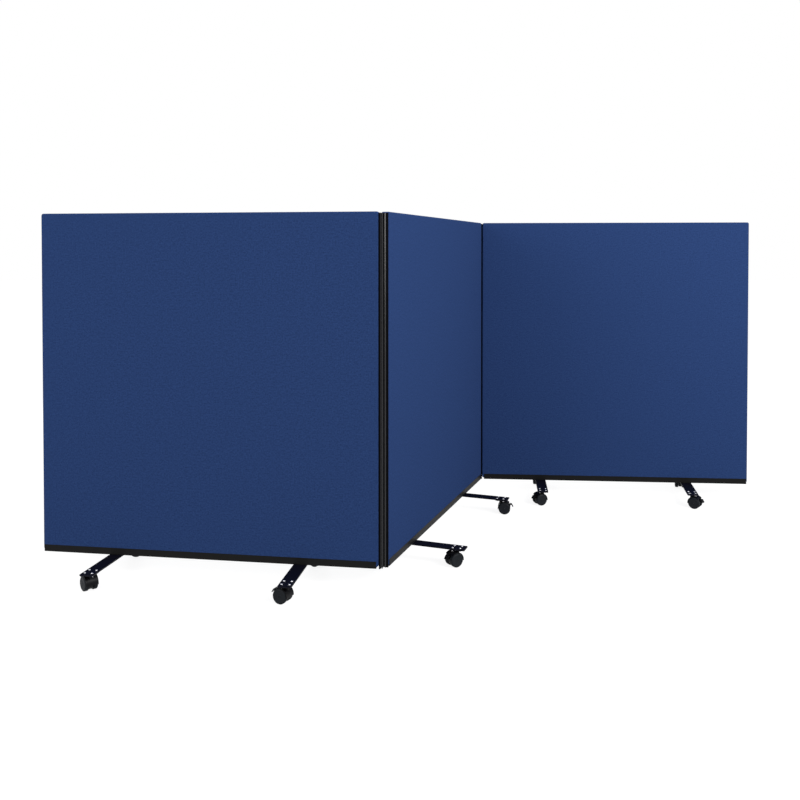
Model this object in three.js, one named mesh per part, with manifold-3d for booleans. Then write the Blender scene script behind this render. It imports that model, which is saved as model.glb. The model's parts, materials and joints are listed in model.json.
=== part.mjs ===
// Mobile folding privacy screen: three fabric panels joined edge to edge by two full height hinges.
// Each panel stands on two flat foot bars, and each bar rolls on two twin wheel castors.
// Millimetres, +Z up, the floor at z = 0, the panels run mostly along +X and the front faces -Y.

import * as THREE from 'three';
import { mergeVertices } from 'three/addons/utils/BufferGeometryUtils.js';
import Module from 'manifold-3d';

const wasm = await Module();
wasm.setup();

// Panels
const panelWidth = 1200;
const panelThickness = 26;
const panelTop = 1255;
const panelCornerRadius = 8;
const panelEdgeRadius = 4;

// Stance of the three panels, in degrees: heading of the middle one, then how far each joint is folded
const middleHeading = 69.8;
const leftFold = 78.2;
const rightFold = 74.2;
const tightestFold = 90;

// Fits
const seatGap = 0.3;
const runningGap = 0.4;
const cutOverrun = 1;

// Bottom rail, a channel flush with the panel, whose lower edge steps in and stands in it
const railBottom = 65;
const railHeight = 24;
const railFloor = 6;
const railWall = 1.2;
const railBevel = 1.5;
const railInsetAtHinge = 9;
const railInsetAtFreeEnd = 3;

// Full height hinge: a black edge profile on each panel, knuckles and one pin
const hingeDrop = 4;
const stileDepth = 5.2;
const stileCornerRadius = 2;
const stileRibRadius = 2.8;
const stileRibOffset = -3.8;
const pinReach = 9;
const pinOffset = 6;
const pinRadius = 1.75;
const pinTail = 5.5;
const pinTip = 1.2;
const knuckleRadius = 3.5;
const knuckleWebHalf = 2.4;
const knuckleCount = 12;
const mitreGap = 0.35;

// Foot bars
const barInset = 270;
const barLength = 410;
const barWidth = 46;
const barThickness = 5;
const barCornerRadius = 2.5;
const barScrewPitch = 26;
const barScrewRadius = 2.5;
const barScrewHeadRadius = 4.6;
const barScrewHeadHeight = 2.2;
const barScrewReach = 5;

// Castor plates and their bolts
const castorInset = 32;
const plateWidth = 40;
const plateLength = 42;
const plateThickness = 2.5;
const plateCorner = 4;
const boltPitchAcross = 26;
const boltPitchAlong = 28;
const boltRadius = 2;
const boltHeadRadius = 3.9;
const boltHeadHeight = 1.8;
const nutRadius = 3.9;
const nutHeight = 3;
const kingpinRadius = 4;
const kingpinReach = 20;
const kingpinCollarRadius = 7;
const kingpinCollarHeight = 3.6;

// Twin wheels on one axle
const wheelRadius = 25;
const wheelTrail = 15;
const wheelInner = 8.2;
const wheelOuter = 23;
const wheelDish = 0.8;
const wheelFaceRadius = 20.5;
const wheelShoulder = 2.2;
const axleRadius = 3;

// Castor hood with the socket that turns on the kingpin
const hoodWebHalf = 6.6;
const hoodWebRadius = 21.5;
const fenderGap = 1.2;
const fenderThickness = 1.9;
const fenderHalf = 21.5;
const fenderFront = -8;
const fenderRearPlain = 164;
const fenderRearBraked = 138;
const socketRadius = 7.4;
const socketTop = 53;
const socketBottom = 31;

// Brake lever, a paddle that snaps into a seat between the wheels
const leverSeatAngle = 150;
const leverSeatRadius = 16.5;
const leverHubRadius = 3.4;
const leverHalf = 5.4;
const leverPaddleHalf = 9.5;
const leverArmHalf = 2.1;
const leverNeck = 11.5;
const leverKnee = 15.5;
const leverBrow = 18.6;
const leverBrowDrop = 1.4;
const leverTipDrop = 14.6;
const leverPaddleThickness = 1.9;
const leverMouth = 62;

// Facet counts, and for an arc in an outline the steps, each of which gives two facets
const wheelFacets = 16;
const roundFacets = 8;
const boltFacets = 6;
const fenderSteps = 4;
const hubSteps = 4;
const knuckleSteps = 4;
const cornerSteps = 2;
const barCornerSteps = 1;
const panelCornerSteps = 1;
const panelEdgeSteps = 2;

// How far each foot bar is screwed on askew, in degrees
const barTurns = {
  left_outer: -2.5,
  left_inner: 0,
  middle_left: 0,
  middle_right: 0,
  right_inner: -1.5,
  right_outer: -5,
};

// Where each castor has swung to on its bar, in degrees: front castor, then rear
const castorTurns = {
  left_outer: [-38, 14],
  left_inner: [-17, 158],
  middle_left: [-37, 171],
  middle_right: [102, -21],
  right_inner: [28, 82],
  right_outer: [151.5, 85],
};

const halfWidth = panelWidth / 2;
const halfThickness = panelThickness / 2;
const railTop = railBottom + railHeight;
const railInside = halfThickness - railWall;
const hingeTop = panelTop - hingeDrop;
const barTop = railBottom - seatGap;
const barBottom = barTop - barThickness;
const plateTop = barBottom - seatGap;
const plateBottom = plateTop - plateThickness;
const castorOffset = barLength / 2 - castorInset;
const pinDistance = halfWidth + pinReach;
const screwStations = [-barScrewPitch / 2, barScrewPitch / 2];

const boltStations = [];
for (const across of [-boltPitchAcross / 2, boltPitchAcross / 2]) {
  for (const along of [-boltPitchAlong / 2, boltPitchAlong / 2]) {
    boltStations.push([across, along]);
  }
}

const fabricFinish = new THREE.MeshStandardMaterial({ color: 0x30467a, roughness: 0.95, metalness: 0 });
const railFinish = new THREE.MeshStandardMaterial({ color: 0x1b1c1f, roughness: 0.5, metalness: 0.1 });
const stileFinish = new THREE.MeshStandardMaterial({ color: 0x17181b, roughness: 0.4, metalness: 0.2 });
const pinFinish = new THREE.MeshStandardMaterial({ color: 0x4a4b50, roughness: 0.35, metalness: 0.9 });
const barFinish = new THREE.MeshStandardMaterial({ color: 0x0c0e16, roughness: 0.4, metalness: 0.3 });
const zincFinish = new THREE.MeshStandardMaterial({ color: 0xc9ccd2, roughness: 0.3, metalness: 1 });
const hoodFinish = new THREE.MeshStandardMaterial({ color: 0x1d1f23, roughness: 0.45, metalness: 0 });
const wheelFinish = new THREE.MeshStandardMaterial({ color: 0x26292d, roughness: 0.5, metalness: 0 });
const leverFinish = new THREE.MeshStandardMaterial({ color: 0x151619, roughness: 0.45, metalness: 0 });
for (const finish of [fabricFinish, railFinish, stileFinish, pinFinish, barFinish, zincFinish, hoodFinish,
  wheelFinish, leverFinish]) {
  finish.flatShading = true;
}

// Solids: a closed three.js geometry becomes a solid that can be cut and joined, and comes back again
function toSolid(geometry) {
  geometry.deleteAttribute('normal');
  geometry.deleteAttribute('uv');
  const merged = mergeVertices(geometry);
  const corners = merged.index.array;
  const kept = [];
  for (let i = 0; i < corners.length; i += 3) {
    const [a, b, c] = [corners[i], corners[i + 1], corners[i + 2]];
    if (a !== b && b !== c && c !== a) {
      kept.push(a, b, c);
    }
  }
  return new wasm.Manifold(new wasm.Mesh({
    numProp: 3,
    vertProperties: Float32Array.from(merged.attributes.position.array),
    triVerts: Uint32Array.from(kept),
  }));
}

function toGeometry(solid) {
  const mesh = solid.getMesh();
  const geometry = new THREE.BufferGeometry();
  geometry.setAttribute('position', new THREE.BufferAttribute(Float32Array.from(mesh.vertProperties), 3));
  geometry.setIndex(new THREE.BufferAttribute(Uint32Array.from(mesh.triVerts), 1));
  geometry.computeVertexNormals();
  return geometry;
}

function joined(solids) {
  let whole = solids[0];
  for (const solid of solids.slice(1)) {
    whole = whole.add(solid);
  }
  return whole;
}

function cutFrom(solid, cutters) {
  let rest = solid;
  for (const cutter of cutters) {
    rest = rest.subtract(cutter);
  }
  return rest;
}

// Prisms of an outline along Z, along X and along Y
function alongZ(outline, low, high, steps = 1) {
  const geometry = new THREE.ExtrudeGeometry(outline, {
    depth: high - low,
    bevelEnabled: false,
    curveSegments: steps,
  });
  return geometry.translate(0, 0, low);
}

function alongX(outline, low, high) {
  const turn = new THREE.Matrix4().makeBasis(
    new THREE.Vector3(0, 1, 0), new THREE.Vector3(0, 0, 1), new THREE.Vector3(1, 0, 0));
  return alongZ(outline, low, high).applyMatrix4(turn);
}

function alongY(outline, half, steps) {
  return alongZ(outline, -half, half, steps).rotateX(Math.PI / 2);
}

function block(low, high) {
  const size = high.map((value, i) => value - low[i]);
  const middle = high.map((value, i) => (value + low[i]) / 2);
  return new THREE.BoxGeometry(...size).translate(...middle);
}

function roundAlongZ(radius, low, high, facets, x = 0, y = 0) {
  const geometry = new THREE.CylinderGeometry(radius, radius, high - low, facets);
  geometry.rotateX(Math.PI / 2);
  return geometry.translate(x, y, (low + high) / 2);
}

function roundAlongY(radius, half, facets, x = 0, z = 0) {
  const geometry = new THREE.CylinderGeometry(radius, radius, 2 * half, facets);
  return geometry.translate(x, 0, z);
}

function roundedRectangle(left, bottom, right, top, radius) {
  const outline = new THREE.Shape();
  outline.moveTo(left + radius, bottom);
  outline.lineTo(right - radius, bottom);
  outline.absarc(right - radius, bottom + radius, radius, -Math.PI / 2, 0, false);
  outline.absarc(right - radius, top - radius, radius, 0, Math.PI / 2, false);
  outline.absarc(left + radius, top - radius, radius, Math.PI / 2, Math.PI, false);
  outline.absarc(left + radius, bottom + radius, radius, Math.PI, 1.5 * Math.PI, false);
  return outline;
}

function place(parent, name, geometry, finish, position = [0, 0, 0]) {
  const mesh = new THREE.Mesh(geometry, finish);
  mesh.name = name;
  mesh.position.set(...position);
  parent.add(mesh);
  return mesh;
}

// Fabric panel: a flat board with wrapped, rounded edges. Its lower edge is thinner, to stand in the rail.
function fabricPanel() {
  const bottom = railBottom + railFloor + seatGap;
  const outline = roundedRectangle(-halfWidth, bottom, halfWidth, panelTop, panelCornerRadius);
  const board = new THREE.ExtrudeGeometry(outline, {
    depth: panelThickness - 2 * panelEdgeRadius,
    bevelEnabled: true,
    bevelThickness: panelEdgeRadius,
    bevelSize: panelEdgeRadius,
    bevelOffset: -panelEdgeRadius,
    bevelSegments: panelEdgeSteps,
    curveSegments: panelCornerSteps,
  });
  board.translate(0, 0, panelEdgeRadius - halfThickness);
  board.rotateX(Math.PI / 2);
  const [end, face] = [halfWidth + cutOverrun, halfThickness + cutOverrun];
  const step = railInside - seatGap;
  const [low, high] = [bottom - cutOverrun, railTop + seatGap];
  return toGeometry(cutFrom(toSolid(board), [
    toSolid(block([-end, -face, low], [end, -step, high])),
    toSolid(block([-end, step, low], [end, face, high])),
  ]));
}

// Bottom rail: a channel with bevelled lower corners and holes where the screws of its two feet go in
function bottomRail(leftInset, rightInset, leftFoot, rightFoot) {
  const profile = new THREE.Shape();
  profile.moveTo(-halfThickness + railBevel, railBottom);
  profile.lineTo(halfThickness - railBevel, railBottom);
  profile.lineTo(halfThickness, railBottom + railBevel);
  profile.lineTo(halfThickness, railTop);
  profile.lineTo(railInside, railTop);
  profile.lineTo(railInside, railBottom + railFloor);
  profile.lineTo(-railInside, railBottom + railFloor);
  profile.lineTo(-railInside, railTop);
  profile.lineTo(-halfThickness, railTop);
  profile.lineTo(-halfThickness, railBottom + railBevel);
  const channel = toSolid(alongX(profile, -halfWidth + leftInset, halfWidth - rightInset));
  const holes = [];
  for (const [footName, side] of [[leftFoot, -1], [rightFoot, 1]]) {
    const turn = THREE.MathUtils.degToRad(barTurns[footName]);
    for (const station of screwStations) {
      const x = side * (halfWidth - barInset) + station * Math.cos(turn);
      holes.push(toSolid(roundAlongZ(barScrewRadius + seatGap, railBottom - cutOverrun,
        railBottom + railFloor + cutOverrun, boltFacets, x, station * Math.sin(turn))));
    }
  }
  return toGeometry(cutFrom(channel, holes));
}

// Edge profile of the hinge. It lies on the panel's end, x outwards from the fabric, y towards the pin side.
// Its pin side is mitred, so that two of them clear each other at the tightest fold.
function stileOutline() {
  const halfInterior = THREE.MathUtils.degToRad((180 - tightestFold) / 2);
  const slack = mitreGap / Math.sin(halfInterior);
  const mitreAtFace = pinReach - slack - (halfThickness - pinOffset) / Math.tan(halfInterior);
  const mitreAtEnd = pinOffset + (pinReach - slack - stileDepth) * Math.tan(halfInterior);
  const outline = new THREE.Shape();
  outline.moveTo(seatGap, -halfThickness);
  outline.lineTo(stileDepth - stileCornerRadius, -halfThickness);
  outline.absarc(stileDepth - stileCornerRadius, -halfThickness + stileCornerRadius, stileCornerRadius,
    -Math.PI / 2, 0, false);
  outline.lineTo(stileDepth, stileRibOffset - stileRibRadius);
  outline.absarc(stileDepth, stileRibOffset, stileRibRadius, -Math.PI / 2, Math.PI / 2, false);
  outline.lineTo(stileDepth, mitreAtEnd);
  outline.lineTo(mitreAtFace, halfThickness);
  outline.lineTo(seatGap, halfThickness);
  return outline;
}

function knuckleOutline() {
  const lean = Math.asin(knuckleWebHalf / knuckleRadius);
  const outline = new THREE.Shape();
  outline.moveTo(stileDepth - cutOverrun, pinOffset - knuckleWebHalf);
  outline.absarc(pinReach, pinOffset, knuckleRadius, -Math.PI + lean, Math.PI - lean, false);
  outline.lineTo(stileDepth - cutOverrun, pinOffset + knuckleWebHalf);
  return outline;
}

function hingeStile(firstKnuckle) {
  const pitch = (hingeTop - railBottom) / knuckleCount;
  const pieces = [toSolid(alongZ(stileOutline(), railBottom, hingeTop, cornerSteps))];
  for (let i = firstKnuckle; i < knuckleCount; i += 2) {
    const low = railBottom + i * pitch + (i === 0 ? 0 : runningGap / 2);
    const high = railBottom + (i + 1) * pitch - (i === knuckleCount - 1 ? 0 : runningGap / 2);
    pieces.push(toSolid(alongZ(knuckleOutline(), low, high, knuckleSteps)));
  }
  const bore = toSolid(roundAlongZ(pinRadius + runningGap, railBottom - cutOverrun, hingeTop + cutOverrun,
    roundFacets, pinReach, pinOffset));
  return joined(pieces).subtract(bore);
}

// The stile as it sits on one end of a panel: side is which end, pinSide is the face that the pin is near
function placeStile(parent, name, side, pinSide, firstKnuckle) {
  let solid = hingeStile(firstKnuckle);
  if (side < 0) {
    solid = solid.mirror([1, 0, 0]);
  }
  if (pinSide < 0) {
    solid = solid.mirror([0, 1, 0]);
  }
  place(parent, name, toGeometry(solid), stileFinish, [side * halfWidth, 0, 0]);
}

// Hinge pin: a rod with a pointed tail below the knuckles
function hingePin() {
  const low = railBottom - pinTail;
  const profile = [
    new THREE.Vector2(0, low),
    new THREE.Vector2(pinRadius / 2, low),
    new THREE.Vector2(pinRadius, low + pinTip),
    new THREE.Vector2(pinRadius, hingeTop),
    new THREE.Vector2(0, hingeTop),
  ];
  const rod = new THREE.LatheGeometry(profile, roundFacets);
  return toGeometry(toSolid(rod.rotateX(Math.PI / 2)));
}

// Foot bar: a flat bar across the panel, with castor bolt holes and the two screws that hold it to the rail
function footBar() {
  const [x, y] = [barWidth / 2, barLength / 2];
  const outline = roundedRectangle(-x, -y, x, y, barCornerRadius);
  const flat = toSolid(alongZ(outline, barBottom, barTop, barCornerSteps));
  const holes = [];
  for (const side of [-1, 1]) {
    for (const [across, along] of boltStations) {
      holes.push(toSolid(roundAlongZ(boltRadius + seatGap, barBottom - cutOverrun, barTop + cutOverrun,
        boltFacets, across, side * castorOffset + along)));
    }
  }
  const screws = [];
  for (const station of screwStations) {
    screws.push(toSolid(roundAlongZ(barScrewRadius, barBottom - barScrewHeadHeight, barTop + barScrewReach,
      boltFacets, station, 0)));
    screws.push(toSolid(roundAlongZ(barScrewHeadRadius, barBottom - barScrewHeadHeight,
      barBottom + cutOverrun, roundFacets, station, 0)));
  }
  return toGeometry(joined([cutFrom(flat, holes), ...screws]));
}

// Castor plate: bolted under the bar, with the kingpin that the hood turns on
function castorPlate() {
  const x = plateWidth / 2;
  const y = plateLength / 2;
  const outline = new THREE.Shape();
  outline.moveTo(-x + plateCorner, -y);
  outline.lineTo(x - plateCorner, -y);
  outline.lineTo(x, -y + plateCorner);
  outline.lineTo(x, y - plateCorner);
  outline.lineTo(x - plateCorner, y);
  outline.lineTo(-x + plateCorner, y);
  outline.lineTo(-x, y - plateCorner);
  outline.lineTo(-x, -y + plateCorner);
  const pieces = [toSolid(alongZ(outline, plateBottom, plateTop))];
  pieces.push(toSolid(roundAlongZ(kingpinCollarRadius, plateBottom - kingpinCollarHeight,
    plateTop - plateThickness / 2, roundFacets)));
  pieces.push(toSolid(roundAlongZ(kingpinRadius, plateBottom - kingpinReach, plateBottom, roundFacets)));
  for (const [across, along] of boltStations) {
    pieces.push(toSolid(roundAlongZ(boltRadius, plateBottom - nutHeight / 2, barTop + boltHeadHeight,
      boltFacets, across, along)));
    pieces.push(toSolid(roundAlongZ(boltHeadRadius, barTop + seatGap, barTop + boltHeadHeight + seatGap,
      boltFacets, across, along)));
    pieces.push(toSolid(roundAlongZ(nutRadius, plateBottom - nutHeight, plateTop - plateThickness / 2,
      boltFacets, across, along)));
  }
  return toGeometry(joined(pieces));
}

// Wheel pair: two dished wheels and the axle between them, turned in one profile about the axle
function wheelPair() {
  const tread = wheelRadius / Math.cos(Math.PI / wheelFacets);
  const half = [
    [0, wheelOuter - wheelDish],
    [wheelFaceRadius, wheelOuter],
    [tread, wheelOuter - wheelShoulder],
    [tread, wheelInner + wheelDish],
    [axleRadius, wheelInner],
  ];
  const profile = [];
  for (const [radius, y] of half) {
    profile.push(new THREE.Vector2(radius, -y));
  }
  for (const [radius, y] of half.toReversed()) {
    profile.push(new THREE.Vector2(radius, y));
  }
  return toGeometry(toSolid(new THREE.LatheGeometry(profile, wheelFacets, Math.PI / wheelFacets)));
}

// Hood: a web between the wheels, a fender over them and a socket for the kingpin
function fenderOutline(rear) {
  const inner = wheelRadius + fenderGap;
  const outer = inner + fenderThickness;
  const from = THREE.MathUtils.degToRad(fenderFront);
  const to = THREE.MathUtils.degToRad(rear);
  const outline = new THREE.Shape();
  outline.absarc(-wheelTrail, wheelRadius, outer, from, to, false);
  outline.absarc(-wheelTrail, wheelRadius, inner, to, from, true);
  return outline;
}

function castorHood(braked) {
  const rear = braked ? fenderRearBraked : fenderRearPlain;
  const web = new THREE.Shape();
  const low = THREE.MathUtils.degToRad(fenderFront);
  const high = THREE.MathUtils.degToRad(rear);
  const reach = wheelRadius + fenderGap + fenderThickness / 2;
  web.absarc(-wheelTrail, wheelRadius, reach, low, high, false);
  web.absarc(-wheelTrail, wheelRadius, hoodWebRadius, high, low + 2 * Math.PI, false);
  const body = joined([
    toSolid(alongY(fenderOutline(rear), fenderHalf, fenderSteps)),
    toSolid(alongY(web, hoodWebHalf, fenderSteps)),
    toSolid(roundAlongZ(socketRadius, socketBottom, socketTop, roundFacets)),
  ]);
  const cuts = [
    toSolid(roundAlongY(axleRadius + runningGap, hoodWebHalf + cutOverrun, roundFacets,
      -wheelTrail, wheelRadius)),
    toSolid(roundAlongZ(kingpinRadius + runningGap, plateBottom - kingpinReach - runningGap,
      socketTop + cutOverrun, roundFacets)),
  ];
  if (braked) {
    cuts.push(toSolid(leverSeat()));
  }
  return toGeometry(cutFrom(body, cuts));
}

// Place of the lever's pivot in the castor, and the seat in the hood that its hub snaps into
function leverPivot() {
  const angle = THREE.MathUtils.degToRad(leverSeatAngle);
  return [
    -wheelTrail + leverSeatRadius * Math.cos(angle),
    wheelRadius + leverSeatRadius * Math.sin(angle),
  ];
}

function leverSeat() {
  const [x, z] = leverPivot();
  const aim = THREE.MathUtils.degToRad(leverSeatAngle);
  const mouth = THREE.MathUtils.degToRad(leverMouth);
  const seat = leverHubRadius + runningGap;
  const reach = leverBrow + wheelRadius;
  const outline = new THREE.Shape();
  outline.absarc(x, z, seat, aim + mouth, aim - mouth + 2 * Math.PI, false);
  outline.lineTo(x + reach * Math.cos(aim - mouth / 2), z + reach * Math.sin(aim - mouth / 2));
  outline.lineTo(x + reach * Math.cos(aim + mouth), z + reach * Math.sin(aim + mouth));
  return alongY(outline, hoodWebHalf + cutOverrun, hubSteps);
}

// Brake lever, drawn about its pivot: a hub and an arm between the wheels, and a drooping paddle behind them
function brakeLever() {
  const aim = THREE.MathUtils.degToRad(leverSeatAngle);
  const lean = Math.asin(leverArmHalf / leverHubRadius);
  const inside = leverBrow - leverPaddleThickness;
  const arm = new THREE.Shape();
  arm.absarc(0, 0, leverHubRadius, lean, 2 * Math.PI - lean, false);
  arm.lineTo(leverKnee, -leverArmHalf);
  arm.lineTo(leverKnee, leverArmHalf);
  const paddle = new THREE.Shape();
  paddle.moveTo(leverNeck, -leverArmHalf);
  paddle.lineTo(leverKnee, -leverArmHalf);
  paddle.lineTo(leverBrow, leverBrowDrop);
  paddle.lineTo(leverBrow, leverTipDrop);
  paddle.lineTo(inside, leverTipDrop);
  paddle.lineTo(inside, leverBrowDrop + leverArmHalf);
  paddle.lineTo(leverKnee, leverArmHalf);
  paddle.lineTo(leverNeck, leverArmHalf);
  const turn = new THREE.Matrix4().makeRotationY(-aim);
  return toGeometry(joined([
    toSolid(alongY(arm, leverHalf, hubSteps).applyMatrix4(turn)),
    toSolid(alongY(paddle, leverPaddleHalf, hubSteps).applyMatrix4(turn)),
  ]));
}

const plateGeometry = castorPlate();
const wheelGeometry = wheelPair();
const plainHoodGeometry = castorHood(false);
const brakedHoodGeometry = castorHood(true);
const leverGeometry = brakeLever();
const barGeometry = footBar();
const panelGeometry = fabricPanel();
const pinGeometry = hingePin();

// One castor on its bar: the plate is fixed, the hood swivels, the wheels roll and the lever tips
function addCastor(foot, footName, end, braked) {
  const name = `${footName}_${end < 0 ? 'front' : 'rear'}`;
  const seat = new THREE.Group();
  seat.position.set(0, end * castorOffset, 0);
  foot.add(seat);
  place(seat, `castor_plate_${name}`, plateGeometry, zincFinish);
  const swivel = new THREE.Group();
  swivel.rotation.z = THREE.MathUtils.degToRad(castorTurns[footName][end < 0 ? 0 : 1]);
  seat.add(swivel);
  place(swivel, `castor_hood_${name}`, braked ? brakedHoodGeometry : plainHoodGeometry, hoodFinish);
  place(swivel, `castor_wheels_${name}`, wheelGeometry, wheelFinish, [-wheelTrail, 0, wheelRadius]);
  if (braked) {
    const [x, z] = leverPivot();
    place(swivel, `brake_lever_${name}`, leverGeometry, leverFinish, [x, 0, z]);
  }
}

// One foot under a panel, with a braked castor in front and a plain one behind
function addFoot(panel, footName, side) {
  const foot = new THREE.Group();
  foot.position.set(side * (halfWidth - barInset), 0, 0);
  foot.rotation.z = THREE.MathUtils.degToRad(barTurns[footName]);
  panel.add(foot);
  place(foot, `foot_bar_${footName}`, barGeometry, barFinish);
  addCastor(foot, footName, -1, true);
  addCastor(foot, footName, 1, false);
}

function panelUnit(name, leftHinged, rightHinged, leftFoot, rightFoot) {
  const unit = new THREE.Group();
  place(unit, `fabric_panel_${name}`, panelGeometry, fabricFinish);
  const leftInset = leftHinged ? railInsetAtHinge : railInsetAtFreeEnd;
  const rightInset = rightHinged ? railInsetAtHinge : railInsetAtFreeEnd;
  place(unit, `bottom_rail_${name}`, bottomRail(leftInset, rightInset, leftFoot, rightFoot), railFinish);
  addFoot(unit, leftFoot, -1);
  addFoot(unit, rightFoot, 1);
  return unit;
}

// The left joint closes towards the rear and the right joint towards the front, so the screen zigzags
const middle = panelUnit('middle', true, true, 'middle_left', 'middle_right');
placeStile(middle, 'hinge_stile_middle_left', -1, 1, 0);
placeStile(middle, 'hinge_stile_middle_right', 1, -1, 0);
place(middle, 'hinge_pin_left', pinGeometry, pinFinish, [-pinDistance, pinOffset, 0]);
place(middle, 'hinge_pin_right', pinGeometry, pinFinish, [pinDistance, -pinOffset, 0]);
middle.rotation.z = THREE.MathUtils.degToRad(middleHeading);

const left = panelUnit('left', false, true, 'left_outer', 'left_inner');
placeStile(left, 'hinge_stile_left', 1, 1, 1);
left.position.set(-pinDistance, -pinOffset, 0);
const leftPivot = new THREE.Group();
leftPivot.position.set(-pinDistance, pinOffset, 0);
leftPivot.rotation.z = THREE.MathUtils.degToRad(-leftFold);
leftPivot.add(left);
middle.add(leftPivot);

const right = panelUnit('right', true, false, 'right_inner', 'right_outer');
placeStile(right, 'hinge_stile_right', -1, -1, 1);
right.position.set(pinDistance, pinOffset, 0);
const rightPivot = new THREE.Group();
rightPivot.position.set(pinDistance, -pinOffset, 0);
rightPivot.rotation.z = THREE.MathUtils.degToRad(-rightFold);
rightPivot.add(right);
middle.add(rightPivot);

const screen = new THREE.Group();
screen.add(middle);
screen.updateMatrixWorld(true);

// The origin is the middle of the footprint, on the floor
const box = new THREE.Box3().setFromObject(screen, true);
screen.position.set(-(box.min.x + box.max.x) / 2, -(box.min.y + box.max.y) / 2, -box.min.z);
screen.updateMatrixWorld(true);

export default screen;
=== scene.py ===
# Looks of a mobile folding privacy screen: three fabric boards, two full height hinges, six feet on castors.
# Metres and degrees, +Z up. Each piece is modelled about its place's origin, then put there on its body.

import json
import math

import bmesh
import bpy
from bpy.props import FloatProperty, FloatVectorProperty, IntProperty, PointerProperty
from mathutils import Matrix, Vector


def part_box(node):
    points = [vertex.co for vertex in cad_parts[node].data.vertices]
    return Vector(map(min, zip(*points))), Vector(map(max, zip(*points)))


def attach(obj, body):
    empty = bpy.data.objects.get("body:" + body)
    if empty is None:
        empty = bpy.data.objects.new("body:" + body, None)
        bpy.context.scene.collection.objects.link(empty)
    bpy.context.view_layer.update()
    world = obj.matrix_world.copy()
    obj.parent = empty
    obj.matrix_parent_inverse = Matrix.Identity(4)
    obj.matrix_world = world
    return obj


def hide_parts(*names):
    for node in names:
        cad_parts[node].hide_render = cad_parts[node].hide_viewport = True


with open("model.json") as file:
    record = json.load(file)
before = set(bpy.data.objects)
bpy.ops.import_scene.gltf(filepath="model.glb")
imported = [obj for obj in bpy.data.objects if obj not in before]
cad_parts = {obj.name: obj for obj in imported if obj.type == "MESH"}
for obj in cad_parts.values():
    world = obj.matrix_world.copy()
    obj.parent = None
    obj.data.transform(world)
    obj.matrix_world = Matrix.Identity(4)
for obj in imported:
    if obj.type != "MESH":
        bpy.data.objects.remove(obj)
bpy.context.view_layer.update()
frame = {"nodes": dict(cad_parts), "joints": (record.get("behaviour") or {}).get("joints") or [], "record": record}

bl_info = {
    "name": "Folding privacy screen",
    "version": (1, 0, 0),
    "blender": (4, 5, 0),
    "location": "View3D > Sidebar > Privacy Screen",
    "description": "Models and dresses a mobile privacy screen of three folding panels",
    "category": "Add Mesh",
}

# Names in the frame
PANELS = ("left", "middle", "right")
PANEL_OF_FOOT = {
    "left_outer": "left", "left_inner": "left",
    "middle_left": "middle", "middle_right": "middle",
    "right_inner": "right", "right_outer": "right",
}
ENDS = ("front", "rear")
JOINTS = {joint["name"]: joint for joint in frame["joints"]}
MOUNTS = {mount["name"]: mount for mount in frame["record"]["mounts"]}


# Places of the units in the frame, as matrices with Z up and the origin on the floor
def place_along(origin, forward):
    """The place on the floor under a point whose Y axis runs along a level direction."""
    y = Vector((forward[0], forward[1], 0)).normalized()
    z = Vector((0, 0, 1))
    place = Matrix((y.cross(z), y, z)).transposed().to_4x4()
    place.translation = (origin[0], origin[1], 0)
    return place


def box_in(place, node):
    """Lowest and highest corner of a CAD node, measured along the axes of a place."""
    back = place.inverted()
    points = [back @ vertex.co for vertex in frame["nodes"][node].data.vertices]
    low = Vector([min(point[i] for point in points) for i in range(3)])
    high = Vector([max(point[i] for point in points) for i in range(3)])
    return low, high


def panel_place(name):
    """Middle of a panel: X along its width, Y from its front face to its back."""
    mount = MOUNTS["face_" + name]
    place = place_along(mount["pos_m"], [-value for value in mount["axis"]])
    low, high = box_in(place, "fabric_panel_" + name)
    return place @ Matrix.Translation(((low.x + high.x) / 2, (low.y + high.y) / 2, 0))


def foot_place(foot):
    """Middle of a foot bar: Y from its front castor to its rear one."""
    front, rear = [Vector(JOINTS[f"swivel_{foot}_{end}"]["pos_m"]) for end in ENDS]
    return place_along((front + rear) / 2, rear - front)


def plate_place(foot, end):
    """Kingpin of a castor, turned with its bar."""
    place = foot_place(foot)
    place.translation = (*JOINTS[f"swivel_{foot}_{end}"]["pos_m"][:2], 0)
    return place


def castor_place(foot, end):
    """Kingpin of a castor, turned with its wheels: Y along the axle."""
    name = f"{foot}_{end}"
    return place_along(JOINTS["swivel_" + name]["pos_m"], JOINTS["roll_" + name]["axis"])


PLACES = {name: panel_place(name) for name in PANELS}
FEET = {foot: foot_place(foot) for foot in PANEL_OF_FOOT}
CASTORS = {(foot, end): castor_place(foot, end) for foot in FEET for end in ENDS}

# Fits, edges, and how near a place or a direction has to be to pass a test
SEAT_GAP = 0.0003
RUNNING_GAP = 0.0004
OVERRUN = 0.001
EDGE_BREAK = 0.0003
NEAR = 0.0003
NEARLY_ALONG = 0.9
SHARP_ANGLE = 32

# Panels and rails
RAIL_WALL = 0.0012
RAIL_FLOOR = 0.006
RAIL_CORNER = 0.0015
BOARD_LOW, BOARD_HIGH = box_in(PLACES["middle"], "fabric_panel_middle")
RAIL_LOW, RAIL_HIGH = box_in(PLACES["middle"], "bottom_rail_middle")
HALF_WIDTH = BOARD_HIGH.x
HALF_THICKNESS = BOARD_HIGH.y
RAIL_BOTTOM = RAIL_LOW.z
RAIL_TOP = RAIL_HIGH.z
RAIL_INSIDE = HALF_THICKNESS - RAIL_WALL

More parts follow.
